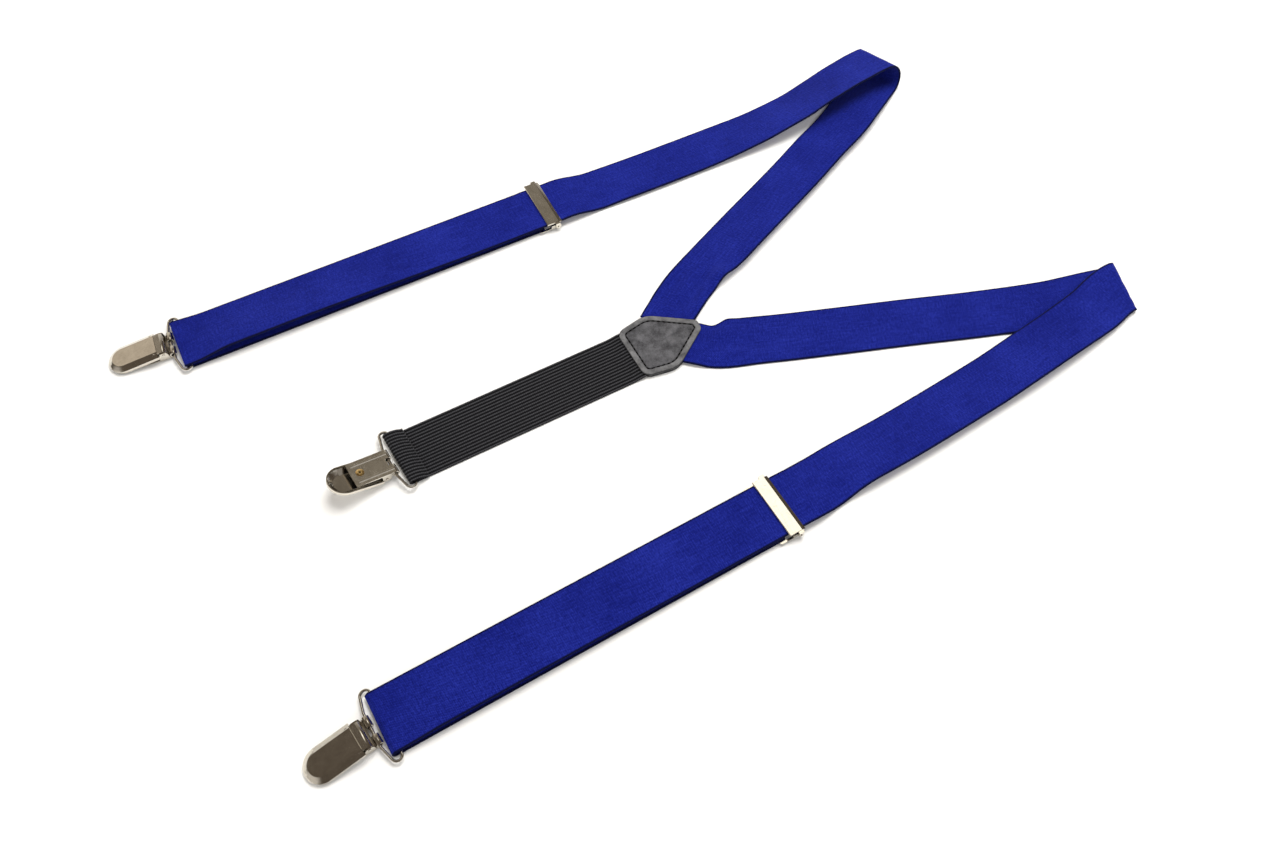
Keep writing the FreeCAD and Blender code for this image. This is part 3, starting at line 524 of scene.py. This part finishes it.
def wrapped(plan, grid, crease, beyond):
    """Roll the flat strap round its fold: places in plan and heights."""
    u, v = grid[..., 0], grid[..., 1]
    radius = np.clip(plan["radius"] + plan["flare"] * u, 1.0, 11.0)
    quarter = radius * math.pi / 2
    angle = np.clip(v / radius, -math.pi / 2, math.pi / 2)
    past = np.maximum(np.abs(v) - quarter, 0.0)
    back_by = radius - radius * np.cos(angle) + past
    plan_xy = np.array(plan["fold"]) + u[..., None] * crease - back_by[..., None] * beyond
    height = FLOOR + radius + radius * np.sin(angle)
    # the front strap comes down from the loop to lie on the leg, then on the surface
    down = np.where(v > quarter, ease(past, 0.0, LAP[0]), 0.0)
    ground = LAP_HIGH + (FLOOR - LAP_HIGH) * ease(past, *LAP)
    height = height + (ground - height) * down
    return plan_xy, np.where(v < -quarter, FLOOR, height)


def front_rise(plan, plan_xy, across, adjuster, nose, heading):
    """How far the front strap rises to its adjuster, and stands off the layer below near the clip."""
    double = float(np.linalg.norm(adjuster - nose))
    rise = 1 - ease((plan_xy - adjuster) @ heading, RISE[1], RISE[0])
    from_nose = (plan_xy - nose) @ heading
    arch = ease(from_nose, 3.0, 28.0) * (1 - ease(from_nose, 0.25 * double, 0.85 * double))
    return (UPPER - FLOOR) * rise + plan["arch"] * arch * ease(across, -WIDTH / 2, WIDTH / 2)


def patch_gathers(plan, plan_xy, along, across, inner):
    """How far the back leg rises under the leather and in its gathers beside the patch."""
    reach = np.linalg.norm(plan_xy - np.array([0.0, 2.0]), axis=-1)
    sewn = (SEWN - FLOOR) * (1 - ease(reach, 27.0, 36.0))
    gather = ease(reach, 30.0, 38.0) * (1 - ease(reach, 46.0, 84.0))
    t = across[None, :] / (WIDTH / 2) * inner
    folds = 0.5 + 0.5 * np.sin(7.0 * t + 2.2 * plan["pleats"] + along[:, None] * 0.02)
    crease_at, crease_long, crease_lift = plan["crease"]
    crease = np.exp(-((along - crease_at) / crease_long) ** 2)[:, None]
    crease = crease * ease(across * inner, *EDGE_ZONE) * crease_lift
    return sewn + abs(plan["pleats"]) * 1.5 * gather * folds + crease


def webbing_front(side, fabric):
    """One piece of webbing from the patch over the shoulder fold and through the adjuster to the clip."""
    plan = SIDES[side]
    inner = INNER[side]
    turn = math.radians(plan["turn"])
    crease = np.array([math.cos(turn), math.sin(turn)])
    beyond = np.array([-math.sin(turn), math.cos(turn)])
    nose, heading = clip_end(side)
    adjuster = adjuster_middle(side)
    level = adjuster + heading * RISE[0] / 2
    front = plan["front"] + [tuple(level), tuple(adjuster), tuple((adjuster + nose) / 2), tuple(nose)]
    line = unrolled(plan, front, crease, beyond)
    ahead = np.gradient(line, axis=0)
    ahead /= np.linalg.norm(ahead, axis=1, keepdims=True)
    side_way = np.stack([ahead[:, 1], -ahead[:, 0]], axis=1)
    across = columns(WIDTH / 2 - EDGE, 19)
    along = run_of(line)
    at_fold = along[np.argmin(np.linalg.norm(line, axis=1))]
    lean = lean_along(plan, along, at_fold, float(np.linalg.norm(adjuster - nose)))
    drawn, corner = edges_drawn(plan, inner, along, across)
    drawn = corner - WIDTH / 2 + (drawn + WIDTH / 2) * np.sqrt(1 - (lean / WIDTH) ** 2)[:, None]
    grid = line[:, None, :] + side_way[:, None, :] * drawn[:, :, None]
    plan_xy, height = wrapped(plan, grid, crease, beyond)
    height = height + lean[:, None] * (across[None, :] / WIDTH + 0.5)
    height = height + np.where(grid[..., 1] > 0,
                               front_rise(plan, plan_xy, across, adjuster, nose, heading),
                               patch_gathers(plan, plan_xy, along, across, inner))
    middle = np.concatenate([plan_xy, height[..., None]], axis=-1)
    strap = band(f"{side}_webbing_front", middle, across, along)
    strap.data.materials.append(fabric)
    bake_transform(strap)
    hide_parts(f"{side}_strap_front", f"{side}_strap_back")
    return along[-1]


def webbing_return(side, fabric, start_run):
    """The webbing's end: round the wide bar, back underneath and round the adjuster's tail bar."""
    nose, heading = clip_end(side)
    adjuster = adjuster_middle(side)
    tail = float(np.linalg.norm(adjuster - nose)) - TAIL_BACK
    profile = np.vstack([
        arc((0.0, FLOOR + LOOP), LOOP, 90, 270),
        [[tail, FLOOR]],
        arc((tail, FLOOR + TAIL_ROUND), TAIL_ROUND, -80, 90),
        [[tail - TAIL_LONG, FLOOR + 2 * TAIL_ROUND]],
    ])
    across = columns(WIDTH / 2 - EDGE, 19)
    inner = INNER[side]
    corner_long, corner_in = SIDES[side]["corner"]
    far = np.clip(-across * inner / (WIDTH / 2), 0.0, 1.0) ** 2

    def corner(line, along):
        past_nose = along - LOOP * math.pi
        return ((1 - ease(past_nose, 0.0, corner_long)) ** 2)[:, None] * far * corner_in * inner

    strap, long = straight_band(f"{side}_webbing_return", profile, nose, heading, across,
                                start_run=start_run, drawn=corner)
    strap.data.materials.append(fabric)
    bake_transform(strap)
    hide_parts(f"{side}_strap_return")


# ------------------------------------------------------------------------------- elastic

RIB_PITCH = 2.2
RIB_HIGH = 0.42
ELASTIC_START = -4.0
HEM = (9.0, 12.5)          # the turned end: clear channel for the bar, and sewn down from there
HEM_PROUD = 0.6            # how much further out the turned end reaches on each side
HEM_STITCH = {"long": 1.9, "gap": 0.7, "radius": 0.24}


def skew(piece, slope, tip):
    """Turn the hemmed end in line with the clip's bar; the rest of the elastic stays square."""
    for vertex in piece.data.vertices:
        near = 1 - float(ease(vertex.co.y / MM, tip, tip + 60.0))
        vertex.co.y += vertex.co.x * slope * near


def elastic(fabric, thread):
    """Ribbed elastic from under the patch to the rear clip, turned over its bar and sewn down."""
    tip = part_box("elastic_strap")[0].y / MM
    centre = tip + FLOOR + LOOP
    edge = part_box("patch_bottom")[0].y / MM
    profile = np.vstack([
        [[ELASTIC_START, SEWN], [edge + 2, SEWN], [edge - 1.5, SEWN - 0.25], [edge - 6, FLOOR + 0.1],
         [edge - 10, FLOOR], [centre + 1, FLOOR]],
        arc((centre, FLOOR + LOOP), LOOP, 270, 90),
        [[tip + HEM[0] - 3, UPPER - 0.1], [tip + HEM[0], UPPER - 1.0],
         [tip + HEM[1] - 1.5, FLOOR + THICK + 0.25], [tip + HEM[1], FLOOR + THICK]],
    ])
    across = np.linspace(-1, 1, 137) * (ELASTIC_WIDTH / 2 - EDGE)
    ribs = THICK / 2 - RIB_HIGH / 2 + RIB_HIGH / 2 * np.cos(across * 2 * math.pi / RIB_PITCH)
    # side view runs towards -Y, so the run is the negative of the row's Y
    profile[:, 0] *= -1
    clip_joint = next(j for j in frame["joints"] if j["name"] == "rear_wire_hinge")
    slope = clip_joint["axis"][1] / clip_joint["axis"][0]
    wide = HEM_PROUD / (ELASTIC_WIDTH / 2)

    def hem_wide(line, along):
        turned = ease(along, along[-1] - HEM[1] - 4, along[-1] - HEM[1] + 1)
        return turned[:, None] * across * wide

    strap, long = straight_band("elastic_webbing", profile, (0.0, 0.0), (0.0, -1.0), across, ribs,
                                drawn=hem_wide)
    skew(strap, slope, tip)
    strap.data.materials.append(fabric)
    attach(strap, "root")
    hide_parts("elastic_strap")
    stitch_y = tip + HEM[1] - 2.0
    line = np.array([[x, stitch_y, FLOOR + THICK + 0.72] for x in np.linspace(-16.5, 16.5, 40)])
    seam = capsule_run("elastic_stitching", line, np.array([0, 0, 1.0]), **HEM_STITCH)
    skew(seam, slope, tip)
    seam.data.materials.append(thread)
    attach(seam, "root")


# --------------------------------------------------------------------------------- patch

CORNERS = [(18.5, -19.6, 6.5), (22.3, 2.5, 15.0), (3.5, 29.5, 4.2),
           (-3.5, 29.5, 4.2), (-22.3, 2.5, 15.0), (-18.5, -19.6, 6.5)]
STITCH_IN = 4.0
PATCH_STITCH = {"long": 2.4, "gap": 0.9, "radius": 0.42}
RING_DEPTHS = (0.0, 0.12, 0.35, 0.8, 1.6, 2.4, 3.0, 3.5, 3.8, 4.0, 4.2, 4.6, 5.2)
RING_SHARES = (0.86, 0.7, 0.52, 0.34, 0.16, 0.04)   # further in, the rings shrink to the centre


def rounded(corners, step=0.5):
    """A closed outline of straight sides joined by arcs, as evenly spaced points."""
    points = [np.array(c[:2]) for c in corners]
    ring = []
    for i, (x, y, radius) in enumerate(corners):
        here = points[i]
        back = points[i - 1] - here
        ahead = points[(i + 1) % len(points)] - here
        back /= np.linalg.norm(back)
        ahead /= np.linalg.norm(ahead)
        half = math.acos(float(back @ ahead)) / 2
        centre = here + (back + ahead) / np.linalg.norm(back + ahead) * (radius / math.sin(half))
        first = here + back * radius / math.tan(half) - centre
        last = here + ahead * radius / math.tan(half) - centre
        a0, a1 = math.atan2(first[1], first[0]), math.atan2(last[1], last[0])
        sweep = (a1 - a0 + math.pi) % (2 * math.pi) - math.pi
        for t in np.linspace(0, 1, 12):
            ring.append(centre + radius * np.array([math.cos(a0 + sweep * t), math.sin(a0 + sweep * t)]))
    return even(np.array(ring + ring[:1]), step)[:-1]


def inset_ring(outline, distance):
    """The outline moved inward."""
    ahead = np.roll(outline, -1, axis=0) - np.roll(outline, 1, axis=0)
    inward = np.stack([-ahead[:, 1], ahead[:, 0]], axis=1)
    inward /= np.linalg.norm(inward, axis=1, keepdims=True)
    if np.sum(inward * (outline - outline.mean(axis=0))) > 0:
        inward = -inward
    return outline + inward * distance


def leather_layer(name, node, fabric, top_side, puff):
    """One leather layer: rounded cut edge, groove along the stitching, and a soft centre."""
    outline = rounded(CORNERS)
    low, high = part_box(node)
    floor, ceiling = low.z / MM, high.z / MM
    centre = np.array([0.0, 3.0])
    rings = [inset_ring(outline, depth) for depth in RING_DEPTHS]
    rings += [centre + (rings[-1] - centre) * share for share in RING_SHARES]
    depths = np.array([*RING_DEPTHS, *(RING_DEPTHS[-1] + (1 - share) * 12 for share in RING_SHARES)])
    rounding = 0.30 * (1 - ease(depths, 0.0, 0.8))
    groove = 0.34 * np.exp(-((depths - STITCH_IN) / 0.55) ** 2)
    swell = puff * ease(depths, STITCH_IN, 11.0) + 0.12 * np.exp(-((depths - 2.0) / 1.0) ** 2)
    heights = swell - rounding - groove
    face_z, back_z = (ceiling, floor) if top_side else (floor, ceiling)
    if not top_side:
        # the underside lies on the surface, so only its groove and rounding show
        heights = -np.minimum(heights, 0.0)
    count = len(outline)
    points, uvs = [], []
    for ring, depth, rise in zip(rings, depths, heights):
        for place in ring:
            points.append((*place, face_z + rise))
            uvs.append((depth, 0.0))
    for ring, depth in ((rings[0], 0.0), (rings[4], 1.6), (rings[-1], 20.0)):
        for place in ring:
            points.append((*place, back_z))
            uvs.append((depth, 0.0))
    faces = []
    total = len(rings)

    def quad_rows(a, b, flip):
        for j in range(count):
            k = (j + 1) % count
            face = (a * count + j, a * count + k, b * count + k, b * count + j)
            faces.append(face[::-1] if flip else face)

    for i in range(total - 1):
        quad_rows(i, i + 1, not top_side)
    quad_rows(total, 0, not top_side)
    quad_rows(total + 1, total, not top_side)
    quad_rows(total + 2, total + 1, not top_side)
    first = tuple((total - 1) * count + j for j in range(count))
    last = tuple((total + 2) * count + j for j in range(count))
    faces.append(first if top_side else first[::-1])
    faces.append(last[::-1] if top_side else last)
    layer = mesh_object(name, points, faces, uvs)
    layer.data.materials.append(fabric)
    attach(layer, "root")
    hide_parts(node)
    return layer


def patch_seam(name, level, up, sink, thread):
    """The row of stitches on one face of the patch."""
    outline = inset_ring(rounded(CORNERS), STITCH_IN)
    ring = np.array([(*place, level) for place in np.vstack([outline, outline[:1]])])
    seam = capsule_run(name, ring, np.array([0, 0, up]), **PATCH_STITCH, sink=sink)
    seam.data.materials.append(thread)
    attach(seam, "root")


def patch(fabric, thread):
    """Both leather layers and their seam."""
    upper = leather_layer("patch_upper_leather", "patch_top", fabric, True, 0.75)
    lower = leather_layer("patch_lower_leather", "patch_bottom", fabric, False, 0.0)
    patch_seam("patch_stitching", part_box("patch_top")[1].z / MM, 1.0, 0.16, thread)
    patch_seam("patch_stitching_under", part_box("patch_bottom")[0].z / MM, -1.0, 0.30, thread)


# --------------------------------------------------------------------------------- metal

FINISH = {
    "wire_loop": "wire", "base_plate": "nickel", "lever": "nickel", "pivot_pin": "nickel",
    "adjuster_frame": "nickel", "adjuster_cover": "nickel", "adjuster_pin": "nickel",
    "jaw_pad": "pad", "rivet": "brass", "spring_leaf": "spring",
}


def dress(node, finish):
    """Give a metal node its finish, with smooth faces and slightly worn edges."""
    piece = frame["nodes"][node]
    piece.data.materials.clear()
    piece.data.materials.append(finish)
    weld = piece.modifiers.new("weld", "WELD")
    weld.merge_threshold = 0.000002
    bevel = piece.modifiers.new("worn_edges", "BEVEL")
    bevel.width = 0.00012
    bevel.segments = 2
    bevel.limit_method = "ANGLE"
    bevel.angle_limit = math.radians(32)
    bevel.harden_normals = True


# ----------------------------------------------------------------------------- the making

blue = webbing_material()
for strap_side in SIDES:
    reached = webbing_front(strap_side, blue)
    webbing_return(strap_side, blue, reached)
thread = thread_material()
elastic(elastic_material(), thread)
patch(leather_material(), thread)

finishes = {
    "nickel": metal_material("nickel_plate", (0.58, 0.54, 0.47), (0.74, 0.70, 0.62), 0.11, 0.19, 0.2),
    "wire": metal_material("nickel_wire", (0.66, 0.63, 0.58), (0.80, 0.78, 0.73), 0.10, 0.17, 0.2),
    "brass": metal_material("brass", (0.66, 0.44, 0.16), (0.86, 0.62, 0.28), 0.18, 0.30, 0.3),
    "spring": metal_material("spring_steel", (0.38, 0.38, 0.38), (0.55, 0.55, 0.54), 0.26, 0.38, 0.4),
    "pad": pad_material(),
}
for node_name in frame["nodes"]:
    for ending, finish_name in FINISH.items():
        if node_name.endswith("_" + ending):
            dress(node_name, finishes[finish_name])

# ------------------------------------------------------------------------- floor and light

floor_data = bpy.data.meshes.new("floor")
floor_data.from_pydata([(-3, -3, 0), (3, -3, 0), (3, 3, 0), (-3, 3, 0)], [], [(0, 1, 2, 3)])
floor = bpy.data.objects.new("floor", floor_data)
bpy.context.scene.collection.objects.link(floor)
floor_paint = material("floor", Base_Color=(0.93, 0.93, 0.92, 1.0), Roughness=0.9,
                       Specular_IOR_Level=0.1)
floor.data.materials.append(floor_paint[0])


def area_light(name, place, aim, size, power, tint=(1.0, 1.0, 1.0)):
    data = bpy.data.lights.new(name, "AREA")
    data.shape = "RECTANGLE"
    data.size, data.size_y = size
    data.energy = power
    data.color = tint
    lamp = bpy.data.objects.new(name, data)
    lamp.location = place
    lamp.rotation_euler = (Vector(aim) - Vector(place)).to_track_quat("-Z", "Y").to_euler()
    # the metal shows the room only, so that no lamp burns out in it
    lamp.visible_glossy = False
    bpy.context.scene.collection.objects.link(lamp)


area_light("key", (-0.50, 0.62, 1.70), (0, 0, 0), (1.3, 1.3), 38, (1.0, 0.985, 0.96))
area_light("fill", (1.7, -0.9, 1.0), (0, 0, 0), (1.5, 1.5), 17)
area_light("side", (0.2, 2.2, 1.1), (0, 0, 0), (1.5, 1.2), 15)
area_light("front", (-0.6, -2.2, 0.9), (0, 0, 0), (1.5, 1.2), 15)


# direction, how wide it spreads (-1 is all round) and colour of each part of the room's light
ROOM = [
    ((0.0, 0.0, 1.0), -1.6, (0.120, 0.098, 0.078)),
    ((-0.70, -0.30, 0.65), 0.92, (0.52, 0.46, 0.38)),
    ((-0.34, 0.33, 0.88), 0.982, (1.9, 1.85, 1.68)),
    ((-0.66, 0.30, 0.70), 0.88, (0.09, 0.085, 0.07)),
    ((-0.9, 0.1, 0.10), 0.70, (0.70, 0.68, 0.65)),
    ((0.2, -1.0, 0.10), 0.75, (0.65, 0.63, 0.60)),
    ((0.8, 0.5, 0.25), 0.75, (0.50, 0.50, 0.50)),
]


def studio():
    """A dim warm room whose paler walls, ceiling lamp and horizon show in the metal."""
    world = bpy.data.worlds.new("studio")
    world.use_nodes = True
    tree = world.node_tree
    place = tree.nodes.new("ShaderNodeTexCoord").outputs["Generated"]
    total = None
    for aim, tight, colour in ROOM:
        close = tree.nodes.new("ShaderNodeVectorMath")
        close.operation = "DOT_PRODUCT"
        close.inputs[1].default_value = Vector(aim).normalized()
        tree.links.new(place, close.inputs[0])
        shade = tree.nodes.new("ShaderNodeMapRange")
        shade.interpolation_type = "SMOOTHSTEP"
        shade.inputs["From Min"].default_value = tight
        shade.inputs["To Min"].default_value = 0.0
        tree.links.new(close.outputs["Value"], shade.inputs["Value"])
        tinted = tree.nodes.new("ShaderNodeVectorMath")
        tinted.operation = "SCALE"
        tinted.inputs[0].default_value = colour
        tree.links.new(shade.outputs["Result"], tinted.inputs["Scale"])
        if total is None:
            total = tinted.outputs["Vector"]
        else:
            both = tree.nodes.new("ShaderNodeVectorMath")
            tree.links.new(total, both.inputs[0])
            tree.links.new(tinted.outputs["Vector"], both.inputs[1])
            total = both.outputs["Vector"]
    tree.links.new(total, tree.nodes["Background"].inputs["Color"])
    bpy.context.scene.world = world


studio()

camera_data = bpy.data.cameras.new("camera")
camera_data.lens = 30.94
camera_data.sensor_width = 36.0
camera = bpy.data.objects.new("camera", camera_data)
camera.location = (0.3456, -0.2020, 0.5623)
camera.rotation_euler = Vector((-0.4545, 0.2487, -0.8554)).to_track_quat("-Z", "Y").to_euler()
bpy.context.scene.collection.objects.link(camera)
bpy.context.scene.camera = camera
bpy.context.scene.view_settings.view_transform = "Standard"
